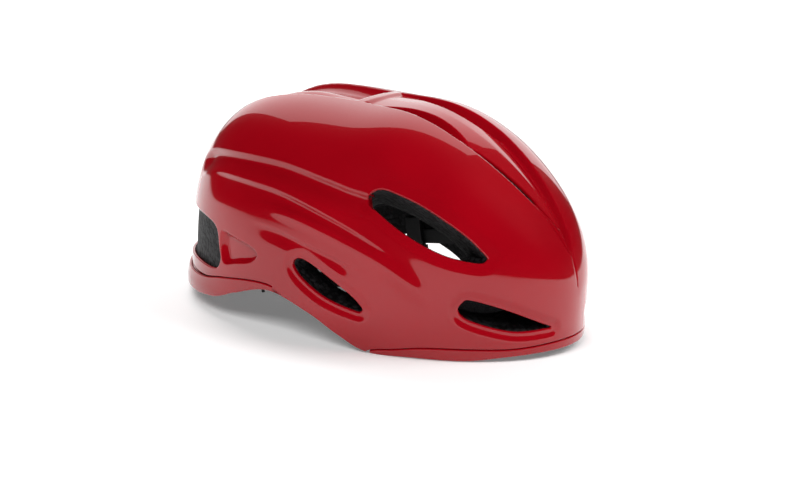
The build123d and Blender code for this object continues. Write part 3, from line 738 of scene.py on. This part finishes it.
class HelmetStage(bpy.types.PropertyGroup):
    floor_colour: bpy.props.FloatVectorProperty(
        name="Floor colour", description="Colour of the paper floor", subtype="COLOR",
        default=(0.9, 0.9, 0.9))
    azimuth: bpy.props.FloatProperty(
        name="Camera azimuth", description="Angle round the helmet", subtype="ANGLE",
        default=math.radians(31))
    elevation: bpy.props.FloatProperty(
        name="Camera elevation", description="Angle above the floor", subtype="ANGLE",
        default=math.radians(15))
    roll: bpy.props.FloatProperty(
        name="Camera roll", description="Turn about the line of sight", subtype="ANGLE",
        default=math.radians(2.75))
    distance: bpy.props.FloatProperty(
        name="Camera distance", description="From the point it faces", unit="LENGTH", default=1.4)
    lens: bpy.props.FloatProperty(name="Lens", description="Focal length in millimetres", default=91.5)


class HELMET_OT_upper_shell(bpy.types.Operator):
    """Make the moulded upper shell with its channel, vents and character lines"""
    bl_idname = "helmet.upper_shell"
    bl_label = "Upper shell"

    def execute(self, context):
        shape = context.scene.helmet_shape
        thick = shape.shell_thick

        def field(p):
            seams = np.minimum(-rear_zone(p) - SEAM_GAP, -front_zone(p) - SEAM_GAP)
            seams = np.where((p[:, 0] > UPPER_ONLY[0]) & (p[:, 0] < UPPER_ONLY[1]), FAR, seams)
            holes = np.minimum(-open_distance(p), -port_distance(p))
            return np.minimum.reduce([above_rim(p), seams, holes]) - EDGE_ROUND

        def outer(base, ways):
            return base - ways * shell_relief(base, shape.channel_depth)[:, None]

        def inner(base, ways):
            return base - ways * (shell_relief(base, shape.channel_depth) + thick)[:, None]

        def depth(base):
            return thick + LIP + shape.vent_return * ramp(open_distance(base), -3, -1)

        points, faces = shell_solid(field, outer, inner, depth, shape.cells)
        new_piece("shell_upper", points, faces, finish("red"), "root", ["upper_shell"])
        return {"FINISHED"}


class HELMET_OT_lower_shells(bpy.types.Operator):
    """Make the front and rear lower shells that wrap the rim"""
    bl_idname = "helmet.lower_shells"
    bl_label = "Lower shells"

    def execute(self, context):
        shape = context.scene.helmet_shape
        thick, flare = shape.shell_thick, shape.rear_flare

        def rear_field(p):
            return np.minimum.reduce([above_rim(p), rear_zone(p)]) - EDGE_ROUND

        def front_field(p):
            return np.minimum.reduce([above_rim(p), front_zone(p), -open_distance(p)]) - EDGE_ROUND

        def stand(base):
            return flare * ramp(base[:, 0], -50, -125) * ramp(base[:, 2], 32, 14)

        def rear_outer(base, ways):
            return base + ways * stand(base)[:, None]

        def rear_inner(base, ways):
            return base - ways * thick

        def front_outer(base, ways):
            return base - ways * vent_dish(base)[:, None]

        def front_inner(base, ways):
            return front_outer(base, ways) - ways * thick

        def depth(base):
            return np.full(len(base), thick + LIP)

        points, faces = shell_solid(rear_field, rear_outer, rear_inner, depth, shape.cells)
        new_piece("shell_lower_rear", points, faces, finish("red"), "root",
                  ["rear_rim_shell"])
        points, faces = shell_solid(front_field, front_outer, front_inner, depth, shape.cells)
        new_piece("shell_lower_front", points, faces, finish("red"), "root",
                  ["front_rim_shell"])
        return {"FINISHED"}


def pocket_relief(p):
    """How much deeper the head space is for the dial and the rack at the back."""
    x, y, z = p.T
    dial = ramp(np.abs(y), 19, 16) * ramp(z, 60, 54) * np.maximum(121 + x, 0)
    rack = 5.5 * ramp(np.abs(y), 13, 11) * ramp(z, 40, 44) * ramp(z, 88, 84)
    return np.where(x < -60, np.maximum(dial, rack), 0.0)


class HELMET_OT_liner(bpy.types.Operator):
    """Make the foam liner with its vent tunnels"""
    bl_idname = "helmet.liner"
    bl_label = "Foam liner"

    def execute(self, context):
        shape = context.scene.helmet_shape
        sunk = shape.shell_thick + LINER_GAP

        def field(p):
            return np.minimum(above_rim(p) - 1.8, -open_distance(p) - 0.15)

        ways, quads = dome_grid(shape.foam_cells)
        ways, quads, triangles = trimmed(ways, quads, lambda w: field(surface(w, outer_test)))
        base, hollow = surface(ways, outer_test), surface(ways, cavity_test)
        down = shell_relief(base, shape.channel_depth)
        port = ramp(port_distance(base), -1.5, 1.5)
        outer = base - ways * (down + sunk + 1.6 * port)[:, None]
        inner = hollow + ways * pocket_relief(hollow)[:, None]
        top, low = point_normals(outer, quads, triangles), -point_normals(inner, quads, triangles)
        border = np.unique(open_edges(quads, triangles))
        n, m, p, q = top[border], low[border], outer[border], inner[border]
        e, r = slope_out(base[border], n, field), LINER_EDGE
        rings = []
        for turn in (30, 60, 90):
            t = math.radians(turn)
            rings.append(p + e * r * 0.3 * math.sin(t) - n * r * (1 - math.cos(t)))
        start, end = rings[-1], q + e * 0.3 - m * 1.5
        rings += [mix(start, end, share) for share in (0.25, 0.5, 0.75)] + [end]
        points, faces = stitched(outer, inner, quads, triangles, rings)
        new_piece("liner", points, faces, finish("foam"), "root", ["foam_liner"])
        return {"FINISHED"}


# ---- Pads and webbing --------------------------------------------------------------------------------
def wall_y(x, z):
    """Half width of the head space."""
    along, up = cavity_shares(x, z)
    return CAVITY_HALF * np.maximum(1 - along - up, 0) ** (1 / CAVITY_POWER)


def roof_z(x, y):
    """Height of the head space."""
    along, _ = cavity_shares(x, np.full_like(x, WIDEST_Z))
    rest = np.maximum(1 - along - np.abs(y / CAVITY_HALF) ** CAVITY_POWER, 0)
    return WIDEST_Z + (CAVITY_TOP - WIDEST_Z) * rest ** (1 / CAVITY_POWER)


def tipped(points):
    """Turn level points about the temple studs to where they hang at rest."""
    turn = np.array(Matrix.Rotation(-TIP_DOWN, 3, "Y"))
    return (points - PIVOT) @ turn.T + PIVOT


def pillow(name, place, size, thick, node, body, channels=()):
    """Sewn pad on a curved backing: place gives the backing point for a distance along and across."""
    half_u, half_v = size[0] / 2, size[1] / 2
    count_u, count_v = max(int(size[0] / PAD_CELL), 12), max(int(size[1] / PAD_CELL), 12)
    a, b = np.meshgrid(np.linspace(-1, 1, count_u + 1), np.linspace(-1, 1, count_v + 1), indexing="ij")
    short = min(half_u, half_v)
    edge_u, edge_v = 1 - (1 - np.abs(a)) * half_u / short, 1 - (1 - np.abs(b)) * half_v / short
    cu, cv = np.clip(edge_u, 0, 1), np.clip(edge_v, 0, 1)
    u = np.sign(a) * (half_u - short + short * cu * np.sqrt(1 - 0.5 * cv * cv / 2))
    v = np.sign(b) * (half_v - short + short * cv * np.sqrt(1 - 0.5 * cu * cu / 2))
    u = np.where(edge_u > 0, u, a * half_u)
    v = np.where(edge_v > 0, v, b * half_v)
    rim = np.minimum((1 - np.abs(a)) * half_u, (1 - np.abs(b)) * half_v)
    crown = 1 - (1 - np.clip((rim - PAD_HEM) / (short * 0.75), 0, 1)) ** 2.4
    height = PAD_EDGE + (thick - PAD_EDGE) * crown
    for centre in channels:
        sewn = np.exp(-((u - centre) / PAD_CHANNEL) ** 2) * ramp(rim, 1.5, 3.5)
        height -= (thick - 1.6) * 0.62 * sewn
    height = np.where(rim < 1.2, 0.9, height)
    rows, cols = u.shape
    back = place(u.ravel(), v.ravel())
    along = place(u.ravel() + NUDGE, v.ravel()) - back
    across = place(u.ravel(), v.ravel() + NUDGE) - back
    normal = unit(np.cross(along, across))
    inward = np.array((0.0, 0.0, 30.0)) - back
    normal *= np.sign((normal * inward).sum(1))[:, None]
    lift = (height * np.clip(rim / 0.5, 0.55, 1)).ravel()[:, None]
    front = back + normal * (PAD_GAP + lift)
    rear = back + normal * PAD_GAP
    grid = np.arange(rows * cols).reshape(rows, cols)
    quads = np.stack((grid[:-1, :-1], grid[1:, :-1], grid[1:, 1:], grid[:-1, 1:]), -1).reshape(-1, 4)
    first = quads[0]
    facing = np.cross(front[first[1]] - front[first[0]], front[first[3]] - front[first[0]])
    if (facing * normal[first[0]]).sum() < 0:
        quads = quads[:, ::-1]
    points, faces = stitched(front, rear, quads, np.zeros((0, 3), int), [])
    piece = new_piece(name, points, faces, finish("pad"), body, [node], sharp=60.0)


class HELMET_OT_pads(bpy.types.Operator):
    """Make the sewn pads of the brow, crown, sides and nape"""
    bl_idname = "helmet.pads"
    bl_label = "Pads"

    def execute(self, context):
        thick = context.scene.helmet_shape.pad_thick - PAD_SPARE

        def brow(u, v):
            z = 33 + v
            _, up = cavity_shares(u, z)
            rest = 1 - np.abs(u / CAVITY_HALF) ** CAVITY_POWER - up
            return np.stack((CAVITY_FRONT * rest ** (1 / CAVITY_POWER), u, z), 1)

        def crown(middle):
            return lambda u, v: np.stack((middle + u, v, roof_z(middle + u, v)), 1)

        def side(sign):
            turn = math.radians(14)

            def place(u, v):
                x = -42 + u * math.cos(turn) - v * math.sin(turn)
                y = sign * (42 + u * math.sin(turn) + v * math.cos(turn))
                return np.stack((x, y, roof_z(x, y)), 1)
            return place

        def nape(sign):
            def place(u, v):
                r = CRADLE_R - 0.2
                angle = math.radians(24) + u / r
                x = BAND_CENTRE_X - r * np.cos(angle)
                return tipped(np.stack((x, sign * r * np.sin(angle), PIVOT[2] + v), 1))
            return place

        pillow("pad_brow", brow, (108, 21), thick, "brow_pad", "root", channels=(-27, 0, 27))
        pillow("pad_crown_front", crown(38), (43, 29), thick, "crown_pad_front", "root", channels=(0,))
        pillow("pad_crown_rear", crown(-38), (43, 29), thick, "crown_pad_rear", "root", channels=(0,))
        pillow("pad_side_left", side(1), (53, 13.5), thick, "side_pad_left", "root")
        pillow("pad_side_right", side(-1), (53, 13.5), thick, "side_pad_right", "root")
        pillow("pad_nape_left", nape(1), (34, 27), thick - 1, "nape_pad_left", "retention")
        pillow("pad_nape_right", nape(-1), (34, 27), thick - 1, "nape_pad_right", "retention")
        return {"FINISHED"}


def ribbon(name, middle, across, node):
    """Flat webbing along a line, with rounded woven edges."""
    count = len(middle)
    along = unit(np.gradient(middle, axis=0))
    across = unit(across - (across * along).sum(1)[:, None] * along)
    up = np.cross(along, across)
    turns = np.linspace(0, 2 * np.pi, WEB_SIDES, endpoint=False)
    c, s = np.cos(turns), np.sin(turns)
    wide = np.sign(c) * np.abs(c) ** 0.25 * WEB_WIDTH / 2
    hem = 1 + 0.12 * (np.abs(wide) > WEB_WIDTH * 0.42)
    tall = np.sign(s) * np.abs(s) ** 0.5 * WEB_THICK / 2 * hem
    points = middle[:, None] + across[:, None] * wide[None, :, None] + up[:, None] * tall[None, :, None]
    ring = np.arange(WEB_SIDES)
    after = (ring + 1) % WEB_SIDES
    base = (np.arange(count - 1) * WEB_SIDES)[:, None]
    ahead = base + WEB_SIDES
    quads = np.stack((base + ring, base + after, ahead + after, ahead + ring), -1)
    fans = []
    half, last = WEB_SIDES // 2, WEB_SIDES - 1
    for start, order in ((0, -1), ((count - 1) * WEB_SIDES, 1)):
        low, high = start + ring[:half - 1], start + ring[1:half]
        fans.append(np.stack((low, high, start + last - ring[1:half], start + last - ring[:half - 1]),
                             1)[:, ::order])
    piece = new_piece(name, points.reshape(-1, 3), [quads.reshape(-1, 4)] + fans, finish("webbing"), "root",
                      [node])
    lengths = np.concatenate(([0], np.cumsum(np.linalg.norm(np.diff(middle, axis=0), axis=1))))
    place = np.stack((np.repeat(lengths, WEB_SIDES), np.tile(wide, count)), 1) * MM
    layer = piece.data.uv_layers.new(name="Weave")
    index = np.zeros(len(piece.data.loops), np.int32)
    piece.data.loops.foreach_get("vertex_index", index)
    layer.data.foreach_set("uv", place[index].astype(np.float32).ravel())
    return piece


def on_wall(x, z, sign, inset):
    """Points on the head space's side wall, moved towards the head."""
    wall = np.stack((x, sign * wall_y(x, z), z), 1)
    tx = np.stack((x + NUDGE, sign * wall_y(x + NUDGE, z), z), 1) - wall
    tz = np.stack((x, sign * wall_y(x, z + NUDGE), z + NUDGE), 1) - wall
    normal = unit(np.cross(tx, tz))
    normal *= np.sign((normal * (STAR - wall)).sum(1))[:, None]
    return wall + normal * inset, normal


class HELMET_OT_webbing(bpy.types.Operator):
    """Make the straps that lie folded up inside the bowl"""
    bl_idname = "helmet.webbing"
    bl_label = "Webbing"

    def execute(self, context):
        for sign, side in ((1, "left"), (-1, "right")):
            for x_far, name in ((76.0, "front"), (-62.0, "rear")):
                t = np.linspace(0, 1, 40)
                toward = 1 if x_far > 0 else -1
                x = mix(x_far, toward * 12.5, t)
                z = mix(57.5, 70.0, t)
                middle, normal = on_wall(x, z, sign, WEB_INSET)
                across = np.cross(np.gradient(middle, axis=0), normal)
                ribbon("webbing_" + name + "_" + side, middle, across, name + "_strap_" + side)
            y = sign * np.linspace(0.3, CHIN_SPREAD, 50)
            z = roof_z(np.zeros_like(y), np.abs(y) + CHIN_START)
            wall = np.stack((np.zeros_like(y), y + sign * CHIN_START, z), 1)
            slope = unit(np.gradient(wall, axis=0))
            normal = np.cross(slope, (1.0, 0.0, 0.0))
            normal *= np.sign((normal * (STAR - wall)).sum(1))[:, None]
            over = (wall + normal * WEB_INSET)[np.abs(wall[:, 1]) > CHIN_TURN]
            fall = np.linspace(BUCKLE_Z, over[0, 2] - WEB_THICK, 8)
            turned = np.stack((np.zeros(8), np.full(8, sign * CHIN_DROP), fall), 1)
            line = np.vstack((turned, over))
            across = np.tile((1.0, 0.0, 0.0), (len(line), 1))
            piece = ribbon("webbing_chin_" + side, line, across, "chin_strap_" + side)
            if side == "left":
                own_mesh(piece)
        return {"FINISHED"}


class HELMET_OT_fittings(bpy.types.Operator):
    """Give the moulded fittings of the frame their finishes"""
    bl_idname = "helmet.fittings"
    bl_label = "Fittings"

    def execute(self, context):
        slots = {entry["node"]: entry["material_slot"] for entry in frame["record"]["subparts"]}
        looks = {"black_plastic": "plastic", "nylon": "nylon", "rubber": "rubber"}
        for name, node in frame["nodes"].items():
            look = looks.get(slots[name])
            if look:
                node.data.materials.clear()
                node.data.materials.append(finish(look))
        return {"FINISHED"}


class HELMET_OT_stage(bpy.types.Operator):
    """Make the paper floor, the lights and the camera"""
    bl_idname = "helmet.stage"
    bl_label = "Stage"

    def execute(self, context):
        scene = context.scene
        stage = scene.helmet_stage
        mesh = bpy.data.meshes.new("floor")
        h = FLOOR_HALF
        mesh.from_pydata([(-h, -h, 0), (h, -h, 0), (h, h, 0), (-h, h, 0)], [], [(0, 1, 2, 3)])
        floor = bpy.data.objects.new("floor", mesh)
        scene.collection.objects.link(floor)
        mesh.materials.append(finish("paper"))
        lamp("back_panel", (-0.82, 1.37, 1.05), (0, 0, 0.1), (2.2, 2.1), 19)
        lamp("front_panel", (0.9, 0.95, 1.35), (0.05, 0, 0.1), (1.6, 1.4), 9, False)
        lamp("floor_wash_left", (-2.2, 1.6, 2.6), (-0.6, 0.8, 0), (2.0, 2.0), 70, False)
        lamp("floor_wash_right", (2.4, 1.4, 2.6), (0.8, 0.6, 0), (2.0, 2.0), 70, False)
        lamp("floor_wash_front", (0.2, -2.4, 2.6), (0.0, -0.6, 0), (2.4, 1.6), 76, False)
        world = bpy.data.worlds.new("studio")
        world.use_nodes = True
        world.node_tree.nodes["Background"].inputs["Color"].default_value = (1, 1, 1, 1)
        world.node_tree.nodes["Background"].inputs["Strength"].default_value = 0.008
        scene.world = world
        scene.view_settings.view_transform = "Standard"
        aim_camera(scene, stage)
        return {"FINISHED"}


def lamp(name, place, target, size, power, mirrored=True):
    """Soft rectangular light that faces a target, seen in glossy surfaces or not."""
    light = bpy.data.lights.new(name, "AREA")
    light.shape = "RECTANGLE"
    light.size, light.size_y = size
    light.energy = power
    holder = bpy.data.objects.new(name, light)
    holder.location = place
    holder.rotation_euler = (Vector(target) - Vector(place)).to_track_quat("-Z", "Y").to_euler()
    holder.visible_glossy = mirrored
    bpy.context.scene.collection.objects.link(holder)


def aim_camera(scene, stage):
    """Camera round the helmet, with the helmet a little left of the middle and high in the frame."""
    a, e, r = stage.azimuth, stage.elevation, stage.roll
    back = Vector((math.sin(a) * math.cos(e), -math.cos(a) * math.cos(e), math.sin(e)))
    right = Vector((math.cos(a), math.sin(a), 0))
    up = back.cross(right)
    right, up = right * math.cos(r) + up * math.sin(r), up * math.cos(r) - right * math.sin(r)
    camera = bpy.data.cameras.new("camera")
    camera.lens = stage.lens
    camera.sensor_width = SENSOR
    camera.clip_end = 60
    reach = stage.distance * SENSOR / stage.lens
    centre = Vector((0, 0, 0.075)) + right * 0.015 * reach - up * 0.06 * reach
    holder = bpy.data.objects.new("camera", camera)
    holder.matrix_world = Matrix((right, up, back)).transposed().to_4x4()
    holder.location = centre + back * stage.distance
    scene.collection.objects.link(holder)
    scene.camera = holder


class HELMET_PT_panel(bpy.types.Panel):
    """Sidebar panel that lists the steps"""
    bl_idname = "HELMET_PT_panel"
    bl_label = "Road cycling helmet"
    bl_space_type = "VIEW_3D"
    bl_region_type = "UI"
    bl_category = "Helmet"

    def draw(self, context):
        for step in STEPS:
            self.layout.operator(step.bl_idname)


GROUPS = (("helmet_shape", HelmetShape), ("helmet_finish", HelmetFinish), ("helmet_stage", HelmetStage))
STEPS = (HELMET_OT_stage, HELMET_OT_upper_shell, HELMET_OT_lower_shells, HELMET_OT_liner, HELMET_OT_pads,
         HELMET_OT_webbing, HELMET_OT_fittings)


def register():
    for name, group in GROUPS:
        bpy.utils.register_class(group)
        setattr(bpy.types.Scene, name, bpy.props.PointerProperty(type=group))
    for cls in (*STEPS, HELMET_PT_panel):
        bpy.utils.register_class(cls)


def unregister():
    for cls in (HELMET_PT_panel, *reversed(STEPS)):
        bpy.utils.unregister_class(cls)
    for name, group in reversed(GROUPS):
        delattr(bpy.types.Scene, name)
        bpy.utils.unregister_class(group)


def main():
    register()
    for step in STEPS:
        group, name = step.bl_idname.split(".")
        getattr(getattr(bpy.ops, group), name)()


if __name__ == "__main__":
    main()
